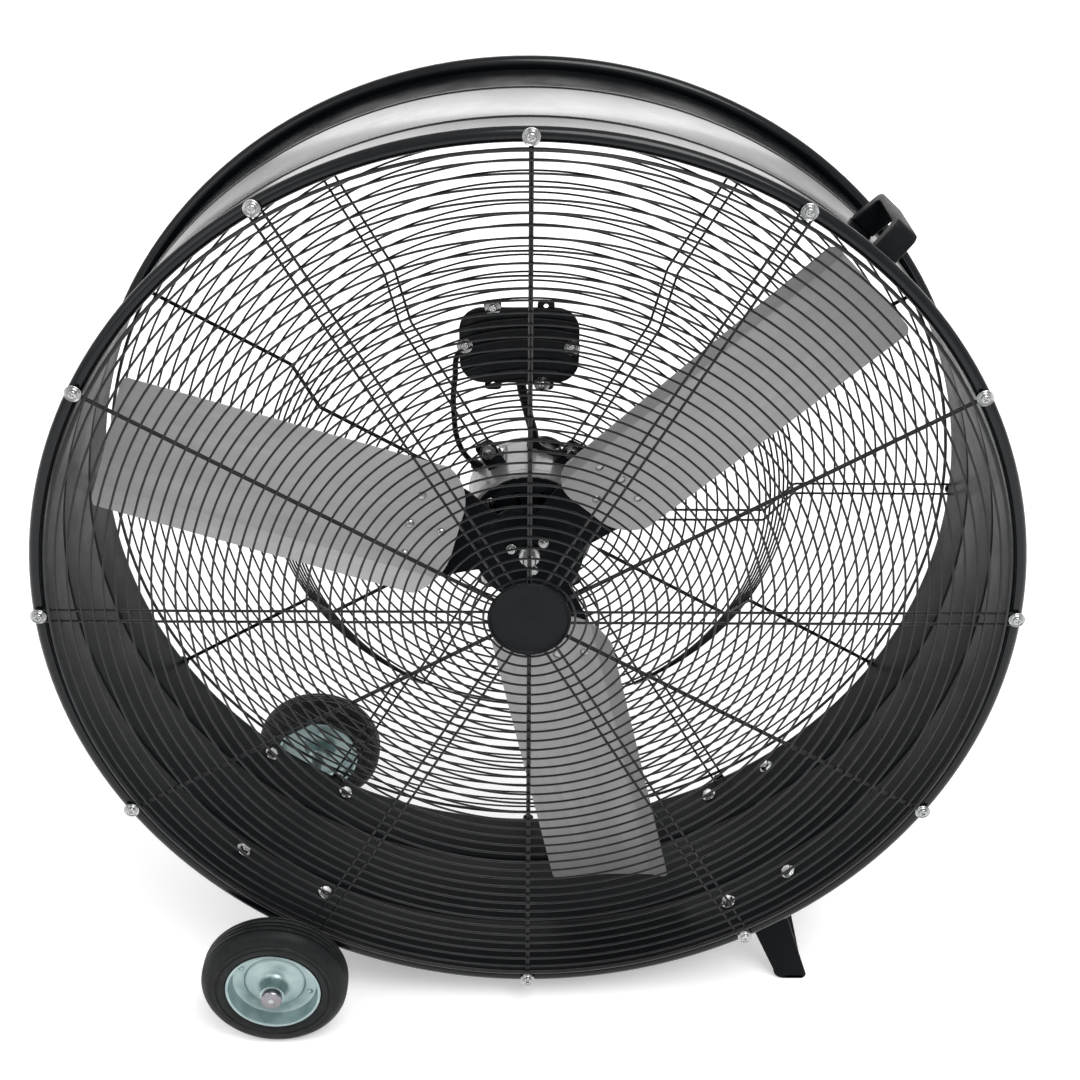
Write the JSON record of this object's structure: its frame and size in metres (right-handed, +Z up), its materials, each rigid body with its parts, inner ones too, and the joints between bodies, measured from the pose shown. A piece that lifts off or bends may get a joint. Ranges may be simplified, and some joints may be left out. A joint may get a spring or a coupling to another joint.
{
  "type": "drum fan",
  "caption": "Large floor drum fan: rolled steel drum with wire guards at both ends, grey paddle blades on a rear-mounted motor, on two wheels and a foot, with a grip on top.",
  "frame": {"origin": "on the floor, below the middle of the fan's bounding box", "axes": "+Z up, -Y is the front where the air leaves, +X is to the right seen from the front, on the side of the foot"},
  "size_m": [1.0986, 0.5366, 1.135],
  "materials": {
    "black_paint": "gloss",
    "black_wire": "semi-gloss",
    "black_moulding": "satin",
    "blade_grey": "satin",
    "motor_grey": "semi-gloss",
    "zinc": "zinc plated",
    "tyre_rubber": "matt",
    "steel": "bright",
    "lead_jacket": "matt"
  },
  "bodies": {
    "frame": {"drum_shell": "black_paint", "front_guard": "black_wire", "guard_disc": "black_moulding", "rear_guard": "black_wire", "motor_shell": "motor_grey", "motor_bell_front": "black_paint", "motor_bell_rear": "motor_grey", "motor_mount_30": "black_paint", "motor_mount_150": "black_paint", "motor_mount_210": "black_paint", "motor_mount_330": "black_paint", "control_box": "black_moulding", "box_lid": "black_moulding", "cable_gland": "black_moulding", "motor_conduit": "lead_jacket", "motor_lead": "lead_jacket", "handle": "black_moulding", "wheel_bracket_front": "black_paint", "wheel_bracket_rear": "black_paint", "axle": "steel", "axle_cap_front": "black_moulding", "axle_cap_rear": "black_moulding", "foot_stand": "black_paint"},
    "rotor": {"shaft": "steel", "shaft_collar": "steel", "hub_spider": "black_paint", "blade_1": "blade_grey", "blade_2": "blade_grey", "blade_3": "blade_grey"},
    "wheel_front": {"tyre_front": "tyre_rubber", "wheel_hub_front": "zinc"},
    "wheel_rear": {"tyre_rear": "tyre_rubber", "wheel_hub_rear": "zinc"},
    "knob": {"speed_knob": "black_moulding"}
  },
  "joints": [
    {"name": "rotor_spin", "type": "hinge", "parent": "frame", "child": "rotor", "pos_m": [0, -0.05, 0.586], "axis": [0, 1, 0], "continuous": true},
    {"name": "wheel_front_spin", "type": "hinge", "parent": "frame", "child": "wheel_front", "pos_m": [-0.309, -0.231, 0.089], "axis": [0, 1, 0], "continuous": true},
    {"name": "wheel_rear_spin", "type": "hinge", "parent": "frame", "child": "wheel_rear", "pos_m": [-0.309, 0.231, 0.089], "axis": [0, 1, 0], "continuous": true},
    {"name": "speed_turn", "type": "hinge", "parent": "frame", "child": "knob", "pos_m": [0.009, 0.12, 0.804], "axis": [0, 1, 0], "range_deg": [0, 90]}
  ]
}
